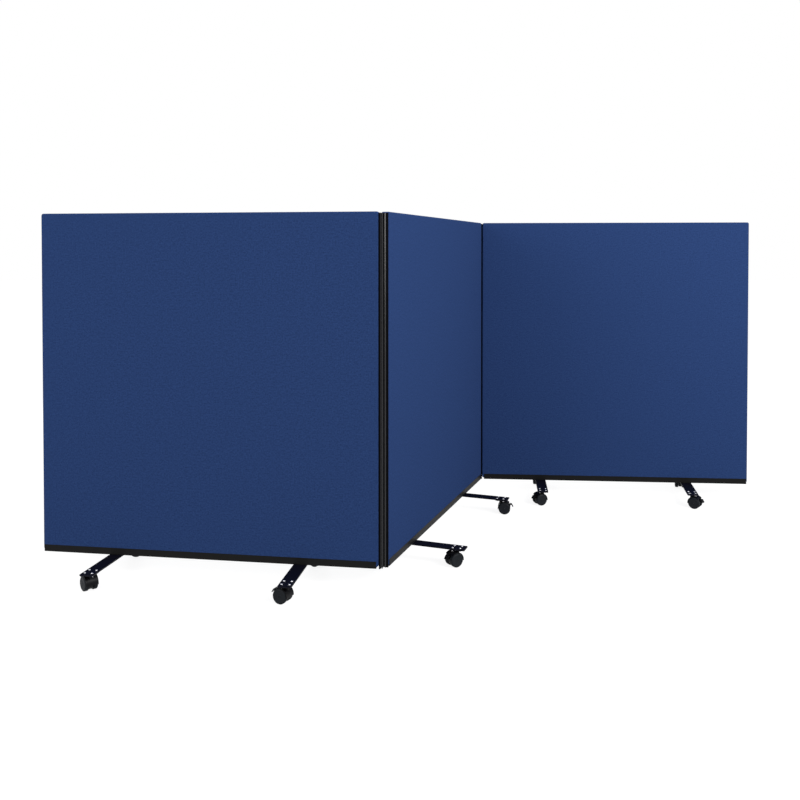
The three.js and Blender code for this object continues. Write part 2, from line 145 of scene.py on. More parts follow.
# Hinges
STILE_DEPTH = 0.0052
STILE_CORNER = 0.002
STILE_RIB = 0.0028
STILE_RIB_Y = -0.0038
STILE_RIB_SHOULDER = 0.0012
MITRE_GAP = 0.00035
TIGHTEST_FOLD = 90
KNUCKLE_RADIUS = 0.0035
KNUCKLE_WEB_HALF = 0.0024
KNUCKLE_COUNT = 12
PIN_RADIUS = 0.00175
PIN_TIP = 0.0024
HINGE_LOW, HINGE_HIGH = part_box("hinge_stile_left")
PIN_LOW, PIN_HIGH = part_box("hinge_pin_left")
PIN_PLACE = PLACES["left"].inverted() @ Vector(JOINTS["fold_left"]["pos_m"])
PIN_REACH = PIN_PLACE.x - HALF_WIDTH
PIN_OFFSET = PIN_PLACE.y

# Foot bars
BAR_THICKNESS = 0.005
BAR_LOW, BAR_HIGH = box_in(FEET["left_outer"], "foot_bar_left_outer")
BAR_TOP = RAIL_BOTTOM - SEAT_GAP
BAR_BOTTOM = BAR_TOP - BAR_THICKNESS
BAR_SCREW_PITCH = 0.026
BAR_SCREW_HEAD = 0.0046
BAR_SCREW_HEAD_HEIGHT = BAR_BOTTOM - BAR_LOW.z

# Castor plates and their bolts
PLATE_LOW, PLATE_HIGH = box_in(plate_place("left_outer", "front"), "castor_plate_left_outer_front")
PLATE_TOP = BAR_BOTTOM - SEAT_GAP
PLATE_THICKNESS = 0.0025
PLATE_BOTTOM = PLATE_TOP - PLATE_THICKNESS
PLATE_CORNER = 0.004
BOLT_ACROSS = 0.026
BOLT_ALONG = 0.028
BOLT_RADIUS = 0.002
BOLT_HEAD_RADIUS = 0.0039
BOLT_HEAD_HEIGHT = 0.0018
BOLT_DOME_SHARES = ((0, 0), (1, 0), (1, 0.3), (0.93, 0.55), (0.78, 0.8), (0.55, 0.95), (0.3, 1), (0, 1))
BOLT_REACH_SHARE = 0.7
NUT_RADIUS = 0.0039
NUT_HEIGHT = 0.003
KINGPIN_RADIUS = 0.004
COLLAR_RADIUS = 0.007
COLLAR_HEIGHT = 0.0036

# Castors
SAMPLE_CASTOR = CASTORS["left_outer", "front"]
AXLE = SAMPLE_CASTOR.inverted() @ Vector(JOINTS["roll_left_outer_front"]["pos_m"])
LEVER = SAMPLE_CASTOR.inverted() @ Vector(JOINTS["brake_left_outer"]["pos_m"])
WHEEL_RADIUS = AXLE.z
WHEEL_INNER = 0.0082
WHEEL_OUTER = box_in(SAMPLE_CASTOR, "castor_wheels_left_outer_front")[1].y
WHEEL_SHOULDER = 0.002
WHEEL_RELIEF = 0.0004
WHEEL_RELIEF_SHARES = (0.5, 0.82)
WHEEL_SIDE_DROP = 0.0015
WHEEL_HOLE_DROP = 0.0003
WHEEL_BORE_STOP = 0.002
TREAD_DEPTH = 0.0016
AXLE_RADIUS = 0.003
AXLE_STOP = 0.003
HOOD_HALF = box_in(SAMPLE_CASTOR, "castor_hood_left_outer_front")[1].y
HOOD_WEB_HALF = 0.0066
HOOD_WEB_RADIUS = 0.0215
FENDER_GAP = 0.0012
FENDER_WALL = 0.0019
FENDER_INNER = WHEEL_RADIUS + FENDER_GAP
FENDER_OUTER = FENDER_INNER + FENDER_WALL
FENDER_FRONT = -8
FENDER_REAR_PLAIN = 164
FENDER_REAR_BRAKED = 138
SOCKET_RADIUS = 0.0074
SOCKET_BOTTOM = 0.031
SOCKET_TOP = 0.053

# Outer face of a wheel, from its rim inwards: share of the radius, and depth behind the widest place
WHEEL_FACE = (
    (0.86, 0.0006),
    (0.835, 0.0001),
    (0.82, 0),
    (0.80, 0.0001),
    (0.79, 0.0005),
    (0.77, 0.0006),
    (0.5, 0.0009),
    (0.27, 0.0010),
    (0.25, 0.0006),
    (0.20, 0.0004),
)

# Brake levers
LEVER_ANGLE = 150
LEVER_HUB = 0.0034
LEVER_HALF = 0.0054
LEVER_PADDLE_HALF = 0.0095
LEVER_ARM_HALF = 0.0021
LEVER_NECK = 0.0115
LEVER_KNEE = 0.0155
LEVER_BROW = 0.0186
LEVER_BROW_DROP = 0.0014
LEVER_TIP_DROP = 0.0146
LEVER_PADDLE_THICKNESS = 0.0019
LEVER_MOUTH = 62
LEVER_GROOVE = 0.0003
LEVER_GROOVE_SHARES = (0.3, 0.5, 0.7)
LEVER_GROOVE_SPAN = 0.75


# Modelling
def deselect():
    bpy.ops.object.select_all(action="DESELECT")


def alone(piece):
    """Selects one piece and nothing else."""
    deselect()
    piece.select_set(True)
    bpy.context.view_layer.objects.active = piece


def begin_edit(piece, kind="FACE"):
    """Starts editing a piece with all of its faces or edges selected."""
    alone(piece)
    bpy.ops.object.mode_set(mode="EDIT")
    bpy.ops.mesh.select_mode(type=kind)
    bpy.ops.mesh.select_all(action="SELECT")


def end_edit():
    bpy.ops.object.mode_set(mode="OBJECT")


def close_mesh():
    """Merges what touches, drops loose edges, points the faces outwards and ends the edit."""
    bpy.ops.mesh.select_all(action="SELECT")
    bpy.ops.mesh.remove_doubles(threshold=1e-6)
    bpy.ops.mesh.delete_loose()
    bpy.ops.mesh.select_all(action="SELECT")
    bpy.ops.mesh.normals_make_consistent(inside=False)
    end_edit()


def bevel_edges(piece, width, segments, test):
    """Rounds the edges whose middle and direction pass a test."""
    begin_edit(piece, "EDGE")
    bpy.ops.mesh.select_all(action="DESELECT")
    mesh = bmesh.from_edit_mesh(piece.data)
    for edge in mesh.edges:
        first, second = [vertex.co for vertex in edge.verts]
        edge.select_set(test((first + second) / 2, (second - first).normalized()))
    bmesh.update_edit_mesh(piece.data)
    bpy.ops.mesh.bevel(offset=width, segments=segments, affect="EDGES")
    end_edit()


def newest(name):
    """The object that was added last, given its name."""
    piece = bpy.context.active_object
    piece.name = name
    return piece


def block(name, low, high):
    """A box between two corners."""
    low, high = Vector(low), Vector(high)
    deselect()
    bpy.ops.mesh.primitive_cube_add(size=1, location=(low + high) / 2)
    piece = newest(name)
    piece.scale = high - low
    bpy.ops.object.transform_apply()
    return piece


def turn_to(piece, axis):
    """Lays a piece drawn along Z along another axis; an outline's X and Y become X and Z, or Y and Z."""
    if axis == "Y":
        piece.data.transform(Matrix(((1, 0, 0), (0, 0, -1), (0, 1, 0))).to_4x4())
    if axis == "X":
        piece.data.transform(Matrix(((0, 0, 1), (1, 0, 0), (0, 1, 0))).to_4x4())
    return piece


def rod(name, radius, low, high, centre=(0, 0), axis="Z", sides=32):
    """A round rod, with its centre given as in an outline."""
    deselect()
    bpy.ops.mesh.primitive_cylinder_add(vertices=sides, radius=radius, depth=high - low)
    piece = newest(name)
    piece.data.transform(Matrix.Translation((*centre, (low + high) / 2)))
    return turn_to(piece, axis)


def prism(name, outline, low, high, axis="Z"):
    """A solid of an outline, from low to high along an axis."""
    deselect()
    bpy.ops.mesh.primitive_circle_add(vertices=len(outline), fill_type="NGON")
    piece = newest(name)
    for vertex, (across, up) in zip(piece.data.vertices, outline):
        vertex.co = (across, up, low)
    begin_edit(piece)
    bpy.ops.mesh.extrude_region_move(TRANSFORM_OT_translate={"value": (0, 0, high - low)})
    close_mesh()
    return turn_to(piece, axis)


def turned(name, profile, sides):
    """A solid turned about Z from a closed profile of radii and heights."""
    deselect()
    bpy.ops.mesh.primitive_circle_add(vertices=len(profile), fill_type="NOTHING")
    piece = newest(name)
    for vertex, (radius, height) in zip(piece.data.vertices, profile):
        vertex.co = (radius, 0, height)
    begin_edit(piece, "EDGE")
    bpy.ops.mesh.spin(steps=sides, angle=2 * math.pi, center=(0, 0, 0), axis=(0, 0, 1))
    close_mesh()
    return piece


def arc(centre, radius, start, end, steps):
    """Points of an arc about a centre, between two angles in degrees."""
    points = []
    for i in range(steps + 1):
        angle = math.radians(start + (end - start) * i / steps)
        points.append((centre[0] + radius * math.cos(angle), centre[1] + radius * math.sin(angle)))
    return points


def combine(piece, other, operation):
    """Joins another solid to a piece, or cuts it out of the piece."""
    alone(piece)
    modifier = piece.modifiers.new("combine", "BOOLEAN")
    modifier.operation = operation
    modifier.solver = "EXACT"
    modifier.object = other
    bpy.ops.object.modifier_apply(modifier=modifier.name)
    bpy.data.objects.remove(other)
    return piece


def joined(piece, *others):
    """A piece with other solids joined to it."""
    for other in others:
        combine(piece, other, "UNION")
    return piece


def cut(piece, *others):
    """A piece with other solids cut out of it."""
    for other in others:
        combine(piece, other, "DIFFERENCE")
    return piece


def gathered(piece, *others):
    """Several separate solids as one piece."""
    alone(piece)
    for other in others:
        other.select_set(True)
    bpy.ops.object.join()
    return piece


def soften(piece, width=EDGE_BREAK, segments=2, angle=60):
    """Rounds each edge sharper than an angle."""
    alone(piece)
    bevel = piece.modifiers.new("soften", "BEVEL")
    bevel.width = width
    bevel.segments = segments
    bevel.limit_method = "ANGLE"
    bevel.angle_limit = math.radians(angle)
    bpy.ops.object.modifier_apply(modifier=bevel.name)
    return piece


def smooth(piece):
    """Shades a piece smooth between its sharp edges, with its flat faces kept flat."""
    alone(piece)
    bpy.ops.object.shade_smooth_by_angle(angle=math.radians(SHARP_ANGLE))
    weighted = piece.modifiers.new("flat faces", "WEIGHTED_NORMAL")
    weighted.keep_sharp = True
    bpy.ops.object.modifier_apply(modifier=weighted.name)
    return piece


def paint(piece, finish, test=None):
    """Gives a piece its finish, or a further finish to the faces whose middle passes a test."""
    piece.data.materials.append(finish)
    if test is not None:
        for face in piece.data.polygons:
            if test(face.center):
                face.material_index = len(piece.data.materials) - 1
    return piece


def put(piece, name, place, body, slot, *nodes):
    """Puts a piece in its place, on the body that carries it, for the CAD nodes that it stands for."""
    piece.name = name
    piece.data.name = name
    piece.data.transform(place)
    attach(piece, body)
    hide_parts(*nodes)


def copy_of(master):
    """A copy of a piece with a mesh of its own."""
    piece = master.copy()
    piece.data = master.data.copy()
    bpy.context.collection.objects.link(piece)
    return piece


def discard(*masters):
    """Removes the masters once their copies are in place."""
    for master in masters:
        bpy.data.objects.remove(master)


# Finishes
class Value:
    """An output of a shader node. Arithmetic on it adds the Math nodes."""

    def __init__(self, nodes, socket):
        self.nodes = nodes
        self.socket = socket

    def of(self, output):
        """Another output of the same node."""
        return Value(self.nodes, self.socket.node.outputs[output])

    def maths(self, operation, first, second):
        """The result of an operation on two values or numbers."""
        return self.nodes.node("ShaderNodeMath", {"operation": operation}, {0: first, 1: second})

    def __add__(self, other):
        return self.maths("ADD", self, other)

    def __radd__(self, other):
        return self.maths("ADD", other, self)

    def __sub__(self, other):
        return self.maths("SUBTRACT", self, other)

    def __rsub__(self, other):
        return self.maths("SUBTRACT", other, self)

    def __mul__(self, other):
        return self.maths("MULTIPLY", self, other)

    def __rmul__(self, other):
        return self.maths("MULTIPLY", other, self)

    def sine(self):
        return self.maths("SINE", self, 0)


class Nodes:
    """The nodes of a material or of the world."""

    def __init__(self, owner):
        owner.use_nodes = True
        self.tree = owner.node_tree

    def feed(self, socket, value):
        """Gives a socket a link or a plain value."""
        if isinstance(value, Value):
            self.tree.links.new(value.socket, socket)
        else:
            socket.default_value = value

    def node(self, kind, settings=None, inputs=None, output=0):
        """Adds a node, with its settings made first and then its sockets fed."""
        made = self.tree.nodes.new(kind)
        for name, value in (settings or {}).items():
            setattr(made, name, value)
        for key, value in (inputs or {}).items():
            self.feed(made.inputs[key], value)
        return Value(self, made.outputs[output])

    def seen(self):
        """1 where the camera sees a surface, straight or in gloss or glass, and 0 for all other light."""
        ray = self.node("ShaderNodeLightPath", output="Is Camera Ray")
        either = ray.maths("MAXIMUM", ray, ray.of("Is Glossy Ray"))
        return ray.maths("MAXIMUM", either, ray.of("Is Transmission Ray"))


class Finish(Nodes):
    """A material: a Principled shader, and the nodes that vary it over the surface."""

    def __init__(self, name, colour, roughness, **uniform):
        self.material = bpy.data.materials.new(name)
        super().__init__(self.material)
        self.shader = self.tree.nodes["Principled BSDF"]
        self.colour = tuple(colour)
        self.feed(self.shader.inputs["Base Color"], (*self.colour, 1))
        self.feed(self.shader.inputs["Roughness"], roughness)
        for socket, value in uniform.items():
            self.feed(self.shader.inputs[socket.replace("_", " ")], value)

    def drawn_out(self, share):
        """Object coordinates whose height counts for a share only, which draws a pattern out upwards."""
        where = self.node("ShaderNodeTexCoord", output="Object")
        return self.node("ShaderNodeMapping", None, {"Vector": where, "Scale": (1, 1, share)})

    def noise(self, per_metre, detail=2, vector=None):
        """Clouds from 0 to 1, so many to a metre, over object coordinates if no others are given."""
        if vector is None:
            vector = self.node("ShaderNodeTexCoord", output="Object")
        inputs = {"Vector": vector, "Scale": per_metre, "Detail": detail}
        return self.node("ShaderNodeTexNoise", None, inputs)

    def vary_colour(self, share, amount):
        """Shades the colour by up to an amount either way, as a share goes from 0 to 1."""
        dark = [value * (1 - amount) for value in self.colour]
        light = [value * (1 + amount) for value in self.colour]
        inputs = {0: share, 6: (*dark, 1), 7: (*light, 1)}
        mixed = self.node("ShaderNodeMix", {"data_type": "RGBA"}, inputs, output=2)
        self.feed(self.shader.inputs["Base Color"], mixed)

    def vary_roughness(self, low, high, share):
        """Takes the roughness from low to high, as a share goes from 0 to 1."""
        self.feed(self.shader.inputs["Roughness"], low + (high - low) * share)

    def bump(self, height, depth, strength):
        """Raises the surface by a height from 0 to 1, at a depth in metres."""
        inputs = {"Height": height, "Distance": depth, "Strength": strength}
        self.feed(self.shader.inputs["Normal"], self.node("ShaderNodeBump", None, inputs))


# Grain of the finishes, in clouds or lines to a metre, and its depth in metres
KNOTS_PER_METRE = 190
SLUBS_PER_METRE = 60
SLUB_STRETCH = (1, 3, 1)
WEAVE_DEPTH = 0.00018
LINES_PER_METRE = 260
LINE_DRAW = 0.01
LINE_DEPTH = 0.00004
MARKS_PER_METRE = 30
PEEL_PER_METRE = 900
PEEL_DEPTH = 0.00005
WEAR_PER_METRE = 25
CLOUDS_PER_METRE = 400
CLOUD_DEPTH = 0.00002
STREAKS_PER_METRE = 500
STREAK_DRAW = 0.05
PITS_PER_METRE = 2200
PIT_DEPTH = 0.00004
TREAD_PIT_DEPTH = 0.00008
FLOW_PER_METRE = 70


def woven_cloth(settings):
    """Blue cloth: two crossing sets of threads, flecked and faintly uneven."""
    finish = Finish(
        "woven_cloth",
        settings.colour,
        0.92,
        Specular_IOR_Level=0,
        Sheen_Weight=settings.sheen,
        Sheen_Roughness=0.45,
        Sheen_Tint=(0.55, 0.66, 0.95, 1),
    )
    where = finish.node("ShaderNodeUVMap", {"uv_map": "cloth"})
    apart = finish.node("ShaderNodeSeparateXYZ", None, {0: where})
    turns = 2 * math.pi / settings.weave_pitch
    warp = (apart.of("X") * turns).sine()
    weft = (apart.of("Y") * turns).sine()
    threads = 0.5 + 0.5 * warp * weft
    flecks = finish.noise(KNOTS_PER_METRE, vector=where)
    stretch = finish.node("ShaderNodeMapping", None, {"Vector": where, "Scale": SLUB_STRETCH})
    slubs = finish.noise(SLUBS_PER_METRE, 3, stretch)
    shade = 0.2 * threads + 0.55 * flecks + 0.25 * slubs
    finish.vary_colour(shade, settings.fleck)
    finish.bump(0.7 * threads + 0.3 * flecks, WEAVE_DEPTH, 0.55)
    return finish.material


def extruded_black(name, colour, roughness, gloss):
    """Black profile with faint upright drawing lines, and marks from handling."""
    finish = Finish(name, colour, roughness, Specular_IOR_Level=gloss)
    lines = finish.noise(LINES_PER_METRE, vector=finish.drawn_out(LINE_DRAW))
    marks = finish.noise(MARKS_PER_METRE, 4)
    finish.vary_colour(marks, 0.18)
    finish.vary_roughness(roughness - 0.05, roughness + 0.1, 0.6 * lines + 0.4 * marks)
    finish.bump(lines, LINE_DEPTH, 0.5)
    return finish.material


def powder_coat(settings):
    """Black powder coat with its fine orange peel."""
    finish = Finish("powder_coat", settings.bar_colour, 0.5, Specular_IOR_Level=0.1)
    peel = finish.noise(PEEL_PER_METRE)
    wear = finish.noise(WEAR_PER_METRE, 5)
    finish.vary_colour(wear, 0.2)
    finish.vary_roughness(0.42, 0.62, wear)
    finish.bump(peel, PEEL_DEPTH, 0.6)
    return finish.material


def zinc_plate(settings):
    """Bright zinc, slightly clouded."""
    finish = Finish("bright_zinc", settings.zinc_colour, 0.5, Metallic=1.0)
    clouds = finish.noise(CLOUDS_PER_METRE, 3)
    finish.vary_colour(clouds, 0.1)
    finish.vary_roughness(0.42, 0.6, clouds)
    finish.bump(clouds, CLOUD_DEPTH, 0.4)
    return finish.material


def dark_steel(settings):
    """Oiled steel of the hinge pins and axles, with faint upright streaks."""
    finish = Finish("dark_steel", settings.pin_colour, 0.35, Metallic=1.0)
    streaks = finish.noise(STREAKS_PER_METRE, vector=finish.drawn_out(STREAK_DRAW))
    finish.vary_colour(streaks, 0.15)
    finish.vary_roughness(0.28, 0.45, streaks)
    return finish.material


def moulded_nylon(name, colour, roughness, grain=PIT_DEPTH):
    """Moulded black plastic with a fine spark eroded grain."""
    finish = Finish(name, colour, roughness, Specular_IOR_Level=0.1)
    pits = finish.noise(PITS_PER_METRE)
    flow = finish.noise(FLOW_PER_METRE, 3)
    finish.vary_colour(flow, 0.12)
    finish.vary_roughness(roughness - 0.06, roughness + 0.08, flow)
    finish.bump(pits, grain, 0.5)
    return finish.material


# Settings
class ClothSettings(bpy.types.PropertyGroup):
    """The cloth, and the edges that it goes round"""

    colour: FloatVectorProperty(
        name="Colour",
        description="Colour of the woven cloth",
        subtype="COLOR", min=0, max=1, default=(0.022, 0.0475, 0.143),
    )
    sheen: FloatProperty(
        name="Sheen",
        description="How much light the cloth's fibres catch at a flat angle",
        subtype="FACTOR", min=0, max=1, default=0.03,
    )
    fleck: FloatProperty(
        name="Fleck",
        description="How far single threads are lighter or darker",
        subtype="FACTOR", min=0, max=1, default=0.7,
    )
    weave_pitch: FloatProperty(
        name="Weave pitch",
        description="Distance between every other thread",
        unit="LENGTH", precision=5, default=0.0016,
    )
    corner_radius: FloatProperty(
        name="Corner radius",
        description="Radius of a board's corners, seen from the front",
        unit="LENGTH", precision=5, default=0.008,
    )
    edge_radius: FloatProperty(
        name="Edge radius",
        description="Radius at which the cloth goes round a board's edges",
        unit="LENGTH", precision=5, default=0.004,
    )


class MetalSettings(bpy.types.PropertyGroup):
    """The rails, hinges, foot bars and bolts"""

    rail_colour: FloatVectorProperty(
        name="Rails",
        description="Colour of the bottom rails",
        subtype="COLOR", min=0, max=1, default=(0.0065, 0.0065, 0.0065),
    )
    hinge_colour: FloatVectorProperty(
        name="Hinges",
        description="Colour of the hinge stiles",
        subtype="COLOR", min=0, max=1, default=(0.003, 0.003, 0.004),
    )
    # The ribs' and knuckles' colour is lighter than the stiles' black as a painted highlight; only their lower
    # roughness and higher gloss stand for a surface rubbed smooth.
    rib_highlight_colour: FloatVectorProperty(
        name="Hinge ribs",
        description="Colour of the ribs and knuckles, rubbed smooth by use",
        subtype="COLOR", min=0, max=1, default=(0.009, 0.009, 0.011),
    )
    pin_colour: FloatVectorProperty(
        name="Pins",
        description="Colour of the hinge pins and axles",
        subtype="COLOR", min=0, max=1, default=(0.08, 0.08, 0.09),
    )
    bar_colour: FloatVectorProperty(
        name="Foot bars",
        description="Colour of the powder coated foot bars and castor plates",
        subtype="COLOR", min=0, max=1, default=(0.002, 0.002, 0.006),
    )
    zinc_colour: FloatVectorProperty(
        name="Bolts",
        description="Colour of the zinc plated bolts, nuts and screws",
        subtype="COLOR", min=0, max=1, default=(0.9, 0.9, 0.92),
    )
    bar_corner: FloatProperty(
        name="Bar corner",
        description="Radius of a foot bar's corners, seen from above",
        unit="LENGTH", precision=5, default=0.0025,
    )


class CastorSettings(bpy.types.PropertyGroup):
    """The castors and their brake levers"""

    hood_colour: FloatVectorProperty(
        name="Hoods",
        description="Colour of the castor hoods",
        subtype="COLOR", min=0, max=1, default=(0.003, 0.003, 0.004),
    )
    wheel_colour: FloatVectorProperty(
        name="Wheels",
        description="Colour of the wheels' faces",
        subtype="COLOR", min=0, max=1, default=(0.01, 0.012, 0.015),
    )
    lever_colour: FloatVectorProperty(
        name="Levers",
        description="Colour of the brake levers",
        subtype="COLOR", min=0, max=1, default=(0.003, 0.003, 0.004),
    )
    sides: IntProperty(
        name="Wheel sides",
        description="Facets round a wheel",
        min=16, max=96, default=56,
    )


class StageSettings(bpy.types.PropertyGroup):
    """The lights and the floor"""

    key_power: FloatProperty(
        name="Key light",
        description="Power of the light in front, above and to the right",
        unit="POWER", default=145,
    )
    fill_power: FloatProperty(
        name="Fill light",
        description="Power of the light in front and to the left",
        unit="POWER", default=58,
    )
    back_power: FloatProperty(
        name="Back light",
        description="Power of the light behind, which shows the far side",
        unit="POWER", default=70,
    )
    sky: FloatProperty(
        name="Surroundings",
        description="Strength of the even light from all round",
        min=0, max=2, default=0.58,
    )
    floor_shade: FloatProperty(
        name="Shadow",
        description="How much of the floor's white comes from the lamps, so that shadows show on it",
        subtype="FACTOR", min=0, max=1, default=0.2,
    )


# Fabric boards
def lay_cloth(board):
    """The map that the weave follows, in metres, folded over at the board's edges."""
    cloth = board.data.uv_layers.new(name="cloth")
    for face in board.data.polygons:
        across = max(range(3), key=lambda i: abs(face.normal[i]))
        first, second = ((1, 2), (0, 2), (0, 1))[across]
        for loop in face.loop_indices:
            corner = board.data.vertices[board.data.loops[loop].vertex_index].co
            cloth.data[loop].uv = (corner[first], corner[second])


def fabric_board(settings):
    """A board wrapped in cloth, with a thinner lower edge that stands in the rail."""
    board = block("board", BOARD_LOW, BOARD_HIGH)
    bevel_edges(board, settings.corner_radius, 8, lambda middle, along: abs(along.y) > NEARLY_ALONG)
    rim = HALF_THICKNESS - OVERRUN
    bevel_edges(board, settings.edge_radius, 6, lambda middle, along: abs(middle.y) > rim)
    step = RAIL_INSIDE - SEAT_GAP
    shoulder = RAIL_TOP + SEAT_GAP
    for side in (-1, 1):
        face, root = side * (HALF_THICKNESS + OVERRUN), side * step
        low = (BOARD_LOW.x - OVERRUN, min(face, root), BOARD_LOW.z - OVERRUN)
        high = (BOARD_HIGH.x + OVERRUN, max(face, root), shoulder)
        cut(board, block("step", low, high))
    inset = HALF_WIDTH - settings.edge_radius

    def over_rail(middle, along):
        """Whether an edge is a long one just above the rail, clear of the rounded ends."""
        level = abs(middle.z - shoulder) < NEAR / 2
        return level and abs(middle.y) > rim and abs(along.x) > NEARLY_ALONG and abs(middle.x) < inset

    bevel_edges(board, OVERRUN, 3, over_rail)
    smooth(board)
    lay_cloth(board)
    return board


class PRIVACYSCREEN_OT_fabric_boards(bpy.types.Operator):
    """Models the three fabric boards"""

    bl_idname = "privacy_screen.fabric_boards"
    bl_label = "Fabric Boards"

    def execute(self, context):
        settings = context.scene.screen_cloth
        master = paint(fabric_board(settings), woven_cloth(settings))
        for name in PANELS:
            put(copy_of(master), "fabric_board_" + name, PLACES[name], name + "_panel", "fabric",
                "fabric_panel_" + name)
        discard(master)
        return {"FINISHED"}


# Bottom rails
def rail_outline():
    """Section of the channel, as points across and up."""
    outer = HALF_THICKNESS
    low = RAIL_BOTTOM
    corner = RAIL_CORNER
    return [
        *arc((-outer + corner, low + corner), corner, 180, 270, 6),
        *arc((outer - corner, low + corner), corner, 270, 360, 6),
        (outer, RAIL_TOP),
        (RAIL_INSIDE, RAIL_TOP),
        (RAIL_INSIDE, low + RAIL_FLOOR),
        (-RAIL_INSIDE, low + RAIL_FLOOR),
        (-RAIL_INSIDE, RAIL_TOP),
        (-outer, RAIL_TOP),
    ]


class PRIVACYSCREEN_OT_bottom_rails(bpy.types.Operator):
    """Models the channel under each board"""

    bl_idname = "privacy_screen.bottom_rails"
    bl_label = "Bottom Rails"

    def execute(self, context):
        settings = context.scene.screen_metal
        black = extruded_black("rail_black", settings.rail_colour, 0.5, 0.09)
        for name in PANELS:
            low, high = box_in(PLACES[name], "bottom_rail_" + name)
            rail = soften(prism("rail", rail_outline(), low.x, high.x, "X"), angle=50)
            paint(smooth(rail), black)
            put(rail, "rail_" + name, PLACES[name], name + "_panel", "rail", "bottom_rail_" + name)
        return {"FINISHED"}


# Hinges
def stile_outline():
    """Section of a hinge's edge profile, outwards from the board and towards the pin, with its mitre."""
    interior = math.radians((180 - TIGHTEST_FOLD) / 2)
    reach = PIN_REACH - MITRE_GAP / math.sin(interior)
    mitre_at_face = reach - (HALF_THICKNESS - PIN_OFFSET) / math.tan(interior)
    mitre_at_end = PIN_OFFSET + (reach - STILE_DEPTH) * math.tan(interior)
    corner = (STILE_DEPTH - STILE_CORNER, -HALF_THICKNESS + STILE_CORNER)
    crest = STILE_RIB - STILE_RIB_SHOULDER
    return [
        (SEAT_GAP, -HALF_THICKNESS),
        *arc(corner, STILE_CORNER, -90, 0, 8),
        (STILE_DEPTH, STILE_RIB_Y - STILE_RIB),
        *arc((STILE_DEPTH + crest, STILE_RIB_Y - crest), STILE_RIB_SHOULDER, -90, 0, 6),
        *arc((STILE_DEPTH + crest, STILE_RIB_Y + crest), STILE_RIB_SHOULDER, 0, 90, 6),
        (STILE_DEPTH, STILE_RIB_Y + STILE_RIB),
        (STILE_DEPTH, mitre_at_end),
        (mitre_at_face, HALF_THICKNESS),
        (SEAT_GAP, HALF_THICKNESS),
    ]


def knuckle_outline():
    """Section of a knuckle, and of the web that holds it to its stile."""
    lean = math.degrees(math.asin(KNUCKLE_WEB_HALF / KNUCKLE_RADIUS))
    root = STILE_DEPTH - OVERRUN
    return [
        (root, PIN_OFFSET - KNUCKLE_WEB_HALF),
        *arc((PIN_REACH, PIN_OFFSET), KNUCKLE_RADIUS, -180 + lean, 180 - lean, 24),
        (root, PIN_OFFSET + KNUCKLE_WEB_HALF),
    ]


def hinge_stile(first):
    """One edge profile with every other knuckle, drawn about the end of its board."""
    low, high = HINGE_LOW.z, HINGE_HIGH.z
    pitch = (high - low) / KNUCKLE_COUNT
    stile = soften(prism("stile", stile_outline(), low, high), angle=40)
    knuckles = []
    for i in range(first, KNUCKLE_COUNT, 2):
        bottom = low + i * pitch + (RUNNING_GAP / 2 if i else 0)
        top = low + (i + 1) * pitch - (RUNNING_GAP / 2 if i < KNUCKLE_COUNT - 1 else 0)
        knuckles.append(soften(prism("knuckle", knuckle_outline(), bottom, top)))
    joined(stile, gathered(*knuckles))
    centre = (PIN_REACH, PIN_OFFSET)
    bore = rod("bore", PIN_RADIUS + RUNNING_GAP, low - OVERRUN, high + OVERRUN, centre, sides=24)
    return smooth(cut(stile, bore))


def on_rib(middle):
    """Whether a face is on the rib or a knuckle, which hands and the next panel rub smooth and glossy, and which
    are painted a lighter black as a painted highlight.
    """
    rib = middle.x > STILE_DEPTH + NEAR and abs(middle.y - STILE_RIB_Y) < STILE_RIB + NEAR
    knuckle = math.hypot(middle.x - PIN_REACH, middle.y - PIN_OFFSET) < KNUCKLE_RADIUS + NEAR
    return rib or knuckle


def hinge_pin():
    """A rod with a slight chamfer on top and a pointed tail."""
    low, high = PIN_LOW.z, PIN_HIGH.z
    chamfer = PIN_RADIUS / 4
    profile = [
        (0, low),
        (PIN_RADIUS / 3, low + chamfer / 2),
        (PIN_RADIUS, low + PIN_TIP),
        (PIN_RADIUS, high - chamfer),
        (PIN_RADIUS - chamfer, high),
        (0, high),
    ]
    return smooth(turned("pin", profile, 24))


class PRIVACYSCREEN_OT_hinges(bpy.types.Operator):
    """Models the four knuckled edge profiles and the two pins"""

    bl_idname = "privacy_screen.hinges"
    bl_label = "Hinges"

    def execute(self, context):
        settings = context.scene.screen_metal
        black = extruded_black("hinge_black", settings.hinge_colour, 0.5, 0.01)
        # Ribs and knuckles: a glossier finish, rubbed smooth by use, in a lighter black that is a painted
        # highlight.
        highlight_and_rubbed = extruded_black("highlight_and_rubbed_black", settings.rib_highlight_colour, 0.2, 0.42)
        steel = dark_steel(settings)
        outer = paint(paint(hinge_stile(1), black), highlight_and_rubbed, on_rib)
        inner = paint(paint(hinge_stile(0), black), highlight_and_rubbed, on_rib)
        inner.data.transform(Matrix.Scale(-1, 4, (0, 1, 0)))
        begin_edit(inner)
        bpy.ops.mesh.normals_make_consistent(inside=False)
        end_edit()
        smooth(inner)
        half_turn = Matrix.Rotation(math.pi, 4, "Z")
        right_end = Matrix.Translation((HALF_WIDTH, 0, 0))
        stiles = (
            ("left", "left", outer, right_end),
            ("right", "right", outer, half_turn @ right_end),
            ("middle_right", "middle", inner, right_end),
            ("middle_left", "middle", inner, half_turn @ right_end),
        )
        for name, panel, master, place in stiles:
            put(copy_of(master), "stile_" + name, PLACES[panel] @ place, panel + "_panel", "hinge",
                "hinge_stile_" + name)
        pin = paint(hinge_pin(), steel)
        for side in ("left", "right"):
            x, y, _ = JOINTS["fold_" + side]["pos_m"]
            put(copy_of(pin), "pin_" + side, Matrix.Translation((x, y, 0)), "middle_panel", "pin",
                "hinge_pin_" + side)
        discard(outer, inner, pin)
        return {"FINISHED"}


